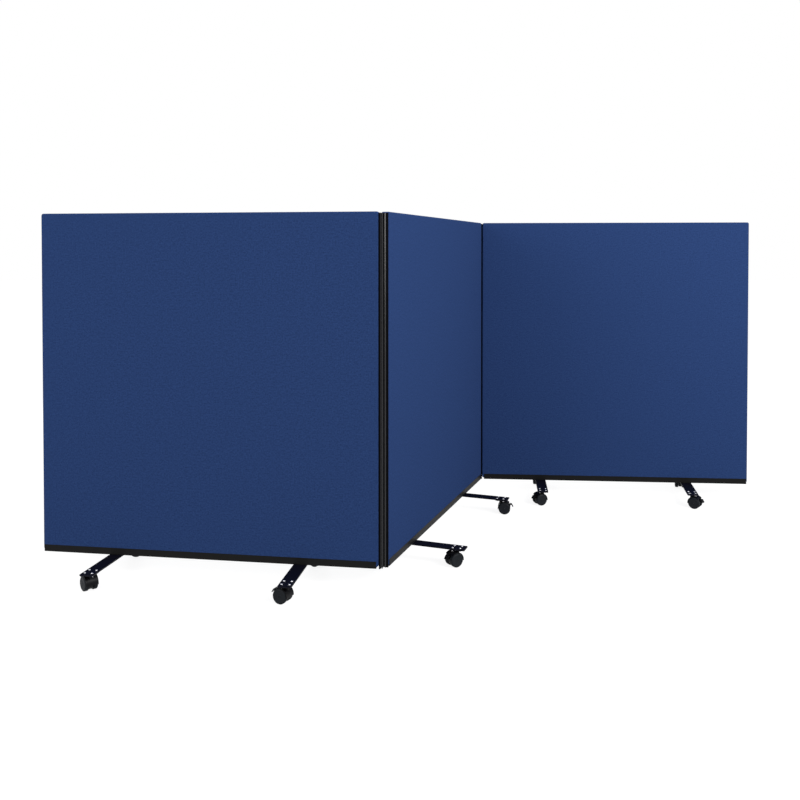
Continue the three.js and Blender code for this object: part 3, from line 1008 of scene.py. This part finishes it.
# Foot bars
def socket_screw(radius, height, socket):
    """A round screw head with a hexagon socket, hanging down from z = 0."""
    head = soften(rod("screw", radius, -height, 0, sides=40), height / 4, 3)
    return cut(head, rod("socket", socket, -height - OVERRUN, -height / 3, sides=6))


def foot_bar(settings):
    """A flat bar with square ends and slightly eased edges."""
    bar = block("bar", (BAR_LOW.x, BAR_LOW.y, BAR_BOTTOM), (BAR_HIGH.x, BAR_HIGH.y, BAR_TOP))
    bevel_edges(bar, settings.bar_corner, 6, lambda middle, along: abs(along.z) > NEARLY_ALONG)
    return smooth(soften(bar, 2 * EDGE_BREAK, 3))


def foot_screws():
    """The two screws that go up through a bar into the rail."""
    screws = []
    for side in (-1, 1):
        screw = socket_screw(BAR_SCREW_HEAD, BAR_SCREW_HEAD_HEIGHT, BAR_SCREW_HEAD / 2)
        screw.data.transform(Matrix.Translation((side * BAR_SCREW_PITCH / 2, 0, BAR_BOTTOM)))
        screws.append(screw)
    return smooth(gathered(*screws))


class PRIVACYSCREEN_OT_foot_bars(bpy.types.Operator):
    """Models the six foot bars and the screws that hold them"""

    bl_idname = "privacy_screen.foot_bars"
    bl_label = "Foot Bars"

    def execute(self, context):
        settings = context.scene.screen_metal
        bar = paint(foot_bar(settings), powder_coat(settings))
        screws = paint(foot_screws(), zinc_plate(settings))
        for foot, panel in PANEL_OF_FOOT.items():
            node = "foot_bar_" + foot
            put(copy_of(bar), "bar_" + foot, FEET[foot], panel + "_panel", "bar", node)
            put(copy_of(screws), "bar_screws_" + foot, FEET[foot], panel + "_panel", "zinc", node)
        discard(bar, screws)
        return {"FINISHED"}


# Castor plates
def castor_plate():
    """A black plate with cropped corners, and the collar and kingpin riveted in it."""
    x, y, corner = PLATE_HIGH.x, PLATE_HIGH.y, PLATE_CORNER
    outline = [
        (-x + corner, -y),
        (x - corner, -y),
        (x, -y + corner),
        (x, y - corner),
        (x - corner, y),
        (-x + corner, y),
        (-x, y - corner),
        (-x, -y + corner),
    ]
    plate = soften(prism("plate", outline, PLATE_BOTTOM, PLATE_TOP))
    inside = PLATE_TOP - PLATE_THICKNESS / 2
    collar = soften(rod("collar", COLLAR_RADIUS, PLATE_BOTTOM - COLLAR_HEIGHT, inside))
    kingpin = rod("kingpin", KINGPIN_RADIUS, PLATE_LOW.z, PLATE_BOTTOM - SEAT_GAP)
    return smooth(joined(plate, collar, soften(kingpin, 2 * EDGE_BREAK)))


def bolt_and_nut():
    """A domed bolt head on the bar, and its nut under the plate."""
    seat = BAR_TOP + SEAT_GAP
    profile = [(across * BOLT_HEAD_RADIUS, seat + up * BOLT_HEAD_HEIGHT) for across, up in BOLT_DOME_SHARES]
    head = turned("head", profile, 32)
    low = PLATE_BOTTOM - NUT_HEIGHT
    nut = soften(rod("nut", NUT_RADIUS, low, PLATE_BOTTOM - SEAT_GAP / 3, sides=6), angle=40)
    cut(nut, rod("thread", BOLT_RADIUS + RUNNING_GAP, low - OVERRUN, low + NUT_HEIGHT / 2, sides=24))
    end = PLATE_BOTTOM - BOLT_REACH_SHARE * NUT_HEIGHT
    shank = soften(rod("shank", BOLT_RADIUS, end, seat, sides=24))
    return gathered(head, nut, shank)


def castor_bolts():
    """The four bolts of a castor plate."""
    bolts = []
    for across in (-BOLT_ACROSS / 2, BOLT_ACROSS / 2):
        for along in (-BOLT_ALONG / 2, BOLT_ALONG / 2):
            bolt = bolt_and_nut()
            bolt.data.transform(Matrix.Translation((across, along, 0)))
            bolts.append(bolt)
    return smooth(gathered(*bolts))


class PRIVACYSCREEN_OT_castor_plates(bpy.types.Operator):
    """Models the twelve castor plates with their kingpins, bolts and nuts"""

    bl_idname = "privacy_screen.castor_plates"
    bl_label = "Castor Plates"

    def execute(self, context):
        settings = context.scene.screen_metal
        plate = paint(castor_plate(), bpy.data.materials["powder_coat"])
        bolts = paint(castor_bolts(), bpy.data.materials["bright_zinc"])
        for foot, end in CASTORS:
            body = PANEL_OF_FOOT[foot] + "_panel"
            name = f"{foot}_{end}"
            place = plate_place(foot, end)
            put(copy_of(plate), "plate_" + name, place, body, "bar", "castor_plate_" + name)
            put(copy_of(bolts), "bolts_" + name, place, body, "zinc", "castor_plate_" + name)
        discard(plate, bolts)
        return {"FINISHED"}


# Castor hoods
def lever_seat():
    """What is cut from a braked hood: the round seat of the lever's hub and the mouth it snaps in through."""
    centre = (LEVER.x, LEVER.z)
    reach = LEVER_BROW + WHEEL_RADIUS
    low, high = LEVER_ANGLE - LEVER_MOUTH, LEVER_ANGLE + LEVER_MOUTH
    outline = [
        *arc(centre, LEVER_HUB + RUNNING_GAP, high, low + 360, 16),
        arc(centre, reach, LEVER_ANGLE - LEVER_MOUTH / 2, 0, 1)[0],
        arc(centre, reach, high, 0, 1)[0],
    ]
    half = HOOD_WEB_HALF + OVERRUN
    return prism("seat", outline, -half, half, "Y")


def castor_hood(braked):
    """A fender over both wheels, a web between them and the socket of the kingpin."""
    rear = FENDER_REAR_BRAKED if braked else FENDER_REAR_PLAIN
    centre = (AXLE.x, AXLE.z)
    steps = 32
    band = [
        *arc(centre, FENDER_OUTER, FENDER_FRONT, rear, steps),
        *arc(centre, FENDER_INNER, rear, FENDER_FRONT, steps),
    ]
    fender = soften(prism("fender", band, -HOOD_HALF, HOOD_HALF, "Y"), 2 * EDGE_BREAK, 3, 50)
    middle = (FENDER_INNER + FENDER_OUTER) / 2
    web_outline = [
        *arc(centre, middle, FENDER_FRONT, rear, steps),
        *arc(centre, HOOD_WEB_RADIUS, rear, FENDER_FRONT + 360, steps),
    ]
    web = prism("web", web_outline, -HOOD_WEB_HALF, HOOD_WEB_HALF, "Y")
    socket = soften(rod("socket", SOCKET_RADIUS, SOCKET_BOTTOM, SOCKET_TOP, sides=48), 2 * EDGE_BREAK, 3)
    hood = joined(fender, web, socket)
    kingpin = rod("kingpin", KINGPIN_RADIUS + RUNNING_GAP, PLATE_LOW.z - RUNNING_GAP, SOCKET_TOP + OVERRUN)
    across = HOOD_WEB_HALF + OVERRUN
    axle = rod("axle", AXLE_RADIUS + RUNNING_GAP, -across, across, centre, "Y")
    cut(hood, kingpin, axle)
    if braked:
        cut(hood, lever_seat())
    return smooth(hood)


class PRIVACYSCREEN_OT_castor_hoods(bpy.types.Operator):
    """Models the twelve castor hoods"""

    bl_idname = "privacy_screen.castor_hoods"
    bl_label = "Castor Hoods"

    def execute(self, context):
        settings = context.scene.screen_castor
        nylon = moulded_nylon("hood_nylon", settings.hood_colour, 0.42)
        masters = {"front": castor_hood(True), "rear": castor_hood(False)}
        for (foot, end), place in CASTORS.items():
            name = f"{foot}_{end}"
            hood = copy_of(masters[end])
            put(paint(hood, nylon), "hood_" + name, place, "castor_" + name, "castor", "castor_hood_" + name)
        discard(*masters.values())
        return {"FINISHED"}


# Castor wheels
def wheel_profile():
    """Half section of one wheel: bore, inner face, round shoulders, tread, groove and dished outer face."""
    radius, outer, shoulder = WHEEL_RADIUS, WHEEL_OUTER, WHEEL_SHOULDER
    relieved = WHEEL_INNER + WHEEL_RELIEF
    low, high = WHEEL_INNER + shoulder + WHEEL_RELIEF, outer - WHEEL_SIDE_DROP - shoulder
    return [
        (AXLE_RADIUS, WHEEL_INNER),
        *[(share * radius, relieved) for share in WHEEL_RELIEF_SHARES],
        *arc((radius - shoulder, low), shoulder, -90, 0, 5),
        *arc((radius - shoulder, high), shoulder, 0, 70, 5),
        *[(share * radius, outer - depth) for share, depth in WHEEL_FACE],
        (AXLE_RADIUS / 2, outer - WHEEL_HOLE_DROP),
        (AXLE_RADIUS / 2, outer - WHEEL_BORE_STOP),
        (AXLE_RADIUS, outer - WHEEL_BORE_STOP),
    ]


def wheel_pair(sides):
    """Two wheels, drawn about the middle of their axle."""
    wheel = turned("wheel", wheel_profile(), sides)
    wheel.data.transform(Matrix.Rotation(-math.pi / 2, 4, "X"))
    other = copy_of(wheel)
    other.data.transform(Matrix.Rotation(math.pi, 4, "Z"))
    return smooth(gathered(wheel, other))


class PRIVACYSCREEN_OT_castor_wheels(bpy.types.Operator):
    """Models the twelve pairs of wheels and their axles"""

    bl_idname = "privacy_screen.castor_wheels"
    bl_label = "Castor Wheels"

    def execute(self, context):
        settings = context.scene.screen_castor
        face = moulded_nylon("wheel_nylon", settings.wheel_colour, 0.5)
        tread = moulded_nylon("wheel_tread", settings.wheel_colour, 0.68, TREAD_PIT_DEPTH)
        edge = WHEEL_RADIUS - TREAD_DEPTH
        pair = paint(wheel_pair(settings.sides), face)
        paint(pair, tread, lambda middle: math.hypot(middle.x, middle.z) > edge)
        reach = WHEEL_OUTER - AXLE_STOP
        axle = rod("axle", AXLE_RADIUS - RUNNING_GAP / 4, -reach, reach, axis="Y", sides=24)
        axle = paint(smooth(axle), bpy.data.materials["dark_steel"])
        for (foot, end), place in CASTORS.items():
            name = f"{foot}_{end}"
            at_axle = place @ Matrix.Translation(AXLE)
            node = "castor_wheels_" + name
            put(copy_of(pair), "wheels_" + name, at_axle, "wheels_" + name, "wheel", node)
            put(copy_of(axle), "axle_" + name, at_axle, "wheels_" + name, "pin", node)
        discard(pair, axle)
        return {"FINISHED"}


# Brake levers
def brake_lever():
    """A hub and arm between the wheels, and a grooved paddle that droops behind them, about the pivot."""
    lean = math.degrees(math.asin(LEVER_ARM_HALF / LEVER_HUB))
    inside = LEVER_BROW - LEVER_PADDLE_THICKNESS
    arm_outline = [
        *arc((0, 0), LEVER_HUB, lean, 360 - lean, 24),
        (LEVER_KNEE, -LEVER_ARM_HALF),
        (LEVER_KNEE, LEVER_ARM_HALF),
    ]
    paddle_outline = [
        (LEVER_NECK, -LEVER_ARM_HALF),
        (LEVER_KNEE, -LEVER_ARM_HALF),
        (LEVER_BROW, LEVER_BROW_DROP),
        (LEVER_BROW, LEVER_TIP_DROP),
        (inside, LEVER_TIP_DROP),
        (inside, LEVER_BROW_DROP + LEVER_ARM_HALF),
        (LEVER_KNEE, LEVER_ARM_HALF),
        (LEVER_NECK, LEVER_ARM_HALF),
    ]
    arm = soften(prism("arm", arm_outline, -LEVER_HALF, LEVER_HALF, "Y"), angle=50)
    half = LEVER_PADDLE_HALF
    paddle = soften(prism("paddle", paddle_outline, -half, half, "Y"), 1.5 * EDGE_BREAK, 3, 25)
    lever = joined(arm, paddle)
    across = LEVER_GROOVE_SPAN * half
    grooves = []
    for share in LEVER_GROOVE_SHARES:
        drop = LEVER_BROW_DROP + share * (LEVER_TIP_DROP - LEVER_BROW_DROP)
        grooves.append(rod("groove", LEVER_GROOVE, -across, across, (LEVER_BROW, drop), "Y", 12))
    cut(lever, *grooves)
    lever.data.transform(Matrix.Rotation(-math.radians(LEVER_ANGLE), 4, "Y"))
    return smooth(lever)


class PRIVACYSCREEN_OT_brake_levers(bpy.types.Operator):
    """Models the six brake levers"""

    bl_idname = "privacy_screen.brake_levers"
    bl_label = "Brake Levers"

    def execute(self, context):
        settings = context.scene.screen_castor
        nylon = moulded_nylon("lever_nylon", settings.lever_colour, 0.45)
        master = paint(brake_lever(), nylon)
        for foot in FEET:
            place = CASTORS[foot, "front"] @ Matrix.Translation(LEVER)
            put(copy_of(master), "lever_" + foot, place, "brake_" + foot, "lever",
                f"brake_lever_{foot}_front")
        discard(master)
        return {"FINISHED"}


# Stage
CAMERA_FROM_HINGE = Vector((0.0612, -2.87993))
CAMERA_HEIGHT = 1.11974
CAMERA_PITCH = 1.18
PHOTO_SIZE_PX = 800
FOCAL_PX = 866.205
CENTRE_PX = (400.6, 270.1)
SENSOR_MM = 36
VIEW_END = 100
LIGHT_AIM = (0.2, 0, 0.7)
LIGHT_SIZE = 1.8
KEY_PLACE = (2.6, -2.4, 2.8)
FILL_PLACE = (-3.05, -3.25, 1.8)
BACK_PLACE = (-1.3, 3.6, 1.3)
FLOOR_SIZE = 60
FLOOR_GREY = (0.3, 0.3, 0.3)
WHITE = (1, 1, 1, 1)
PAPER_WHITE = 1.005


def pale_floor(settings):
    """White to the camera with a faint shadow, and a plain grey floor to the light."""
    finish = Finish("pale_floor", FLOOR_GREY, 0.9)
    shade = settings.floor_shade
    seen = finish.seen()
    unlit = PAPER_WHITE - shade * settings.sky
    white = finish.node("ShaderNodeEmission", None, {"Color": WHITE, "Strength": unlit})
    catcher = finish.node("ShaderNodeBsdfDiffuse", None, {"Color": (shade, shade, shade, 1)})
    shown = finish.node("ShaderNodeAddShader", None, {0: white, 1: catcher})
    plain = finish.node("ShaderNodeBsdfDiffuse", None, {"Color": (*FLOOR_GREY, 1)})
    mixed = finish.node("ShaderNodeMixShader", None, {0: seen, 1: plain, 2: shown})
    finish.feed(finish.tree.nodes["Material Output"].inputs["Surface"], mixed)
    return finish.material


def surroundings(strength):
    """Even light from all round, with white behind the object."""
    world = bpy.data.worlds.new("surroundings")
    bpy.context.scene.world = world
    nodes = Nodes(world)
    inputs = {"Value": nodes.seen(), "To Min": strength, "To Max": 1}
    background = nodes.tree.nodes["Background"]
    nodes.feed(background.inputs["Color"], WHITE)
    nodes.feed(background.inputs["Strength"], nodes.node("ShaderNodeMapRange", None, inputs))


def area_light(name, power, place):
    """A soft square light that points at LIGHT_AIM, near the middle of the object."""
    deselect()
    bpy.ops.object.light_add(type="AREA", location=place)
    light = newest(name)
    light.data.energy = power
    light.data.size = LIGHT_SIZE
    light.rotation_euler = (Vector(LIGHT_AIM) - Vector(place)).to_track_quat("-Z", "Y").to_euler()


def camera():
    """The photograph's view, from before the left hinge: the lens's axis meets the picture at CENTRE_PX."""
    hinge = Vector(JOINTS["fold_left"]["pos_m"][:2])
    place = (*(hinge + CAMERA_FROM_HINGE), CAMERA_HEIGHT)
    deselect()
    bpy.ops.object.camera_add(location=place, rotation=(math.radians(90 - CAMERA_PITCH), 0, 0))
    eye = newest("camera")
    eye.data.sensor_width = SENSOR_MM
    eye.data.lens = FOCAL_PX / PHOTO_SIZE_PX * SENSOR_MM
    eye.data.shift_x = 0.5 - CENTRE_PX[0] / PHOTO_SIZE_PX
    eye.data.shift_y = CENTRE_PX[1] / PHOTO_SIZE_PX - 0.5
    eye.data.clip_end = VIEW_END
    bpy.context.scene.camera = eye


class PRIVACYSCREEN_OT_stage(bpy.types.Operator):
    """Sets the floor, the lights, the surroundings and the camera"""

    bl_idname = "privacy_screen.stage"
    bl_label = "Stage"

    def execute(self, context):
        settings = context.scene.screen_stage
        deselect()
        bpy.ops.mesh.primitive_plane_add(size=FLOOR_SIZE)
        floor = newest("floor")
        paint(floor, pale_floor(settings))
        area_light("key", settings.key_power, KEY_PLACE)
        area_light("fill", settings.fill_power, FILL_PLACE)
        area_light("back", settings.back_power, BACK_PLACE)
        surroundings(settings.sky)
        camera()
        context.scene.view_settings.view_transform = "Standard"
        return {"FINISHED"}


class PRIVACYSCREEN_PT_tools(bpy.types.Panel):
    """Lists the pieces and their settings"""

    bl_idname = "PRIVACYSCREEN_PT_tools"
    bl_label = "Privacy Screen"
    bl_space_type = "VIEW_3D"
    bl_region_type = "UI"
    bl_category = "Privacy Screen"

    def draw(self, context):
        for operator in OPERATORS:
            self.layout.operator(operator.bl_idname)
        for name in SETTINGS:
            group = getattr(context.scene, name)
            for value in group.bl_rna.properties:
                if value.identifier not in ("name", "rna_type"):
                    self.layout.prop(group, value.identifier)


OPERATORS = (
    PRIVACYSCREEN_OT_stage,
    PRIVACYSCREEN_OT_fabric_boards,
    PRIVACYSCREEN_OT_bottom_rails,
    PRIVACYSCREEN_OT_hinges,
    PRIVACYSCREEN_OT_foot_bars,
    PRIVACYSCREEN_OT_castor_plates,
    PRIVACYSCREEN_OT_castor_hoods,
    PRIVACYSCREEN_OT_castor_wheels,
    PRIVACYSCREEN_OT_brake_levers,
)
SETTINGS = {
    "screen_cloth": ClothSettings,
    "screen_metal": MetalSettings,
    "screen_castor": CastorSettings,
    "screen_stage": StageSettings,
}


def register():
    for kind in (*SETTINGS.values(), *OPERATORS, PRIVACYSCREEN_PT_tools):
        bpy.utils.register_class(kind)
    for name, kind in SETTINGS.items():
        setattr(bpy.types.Scene, name, PointerProperty(type=kind))


def unregister():
    for name in SETTINGS:
        delattr(bpy.types.Scene, name)
    for kind in (PRIVACYSCREEN_PT_tools, *OPERATORS, *SETTINGS.values()):
        bpy.utils.unregister_class(kind)


def main():
    register()
    for operator in OPERATORS:
        group, name = operator.bl_idname.split(".")
        getattr(getattr(bpy.ops, group), name)()


if __name__ == "__main__":
    main()
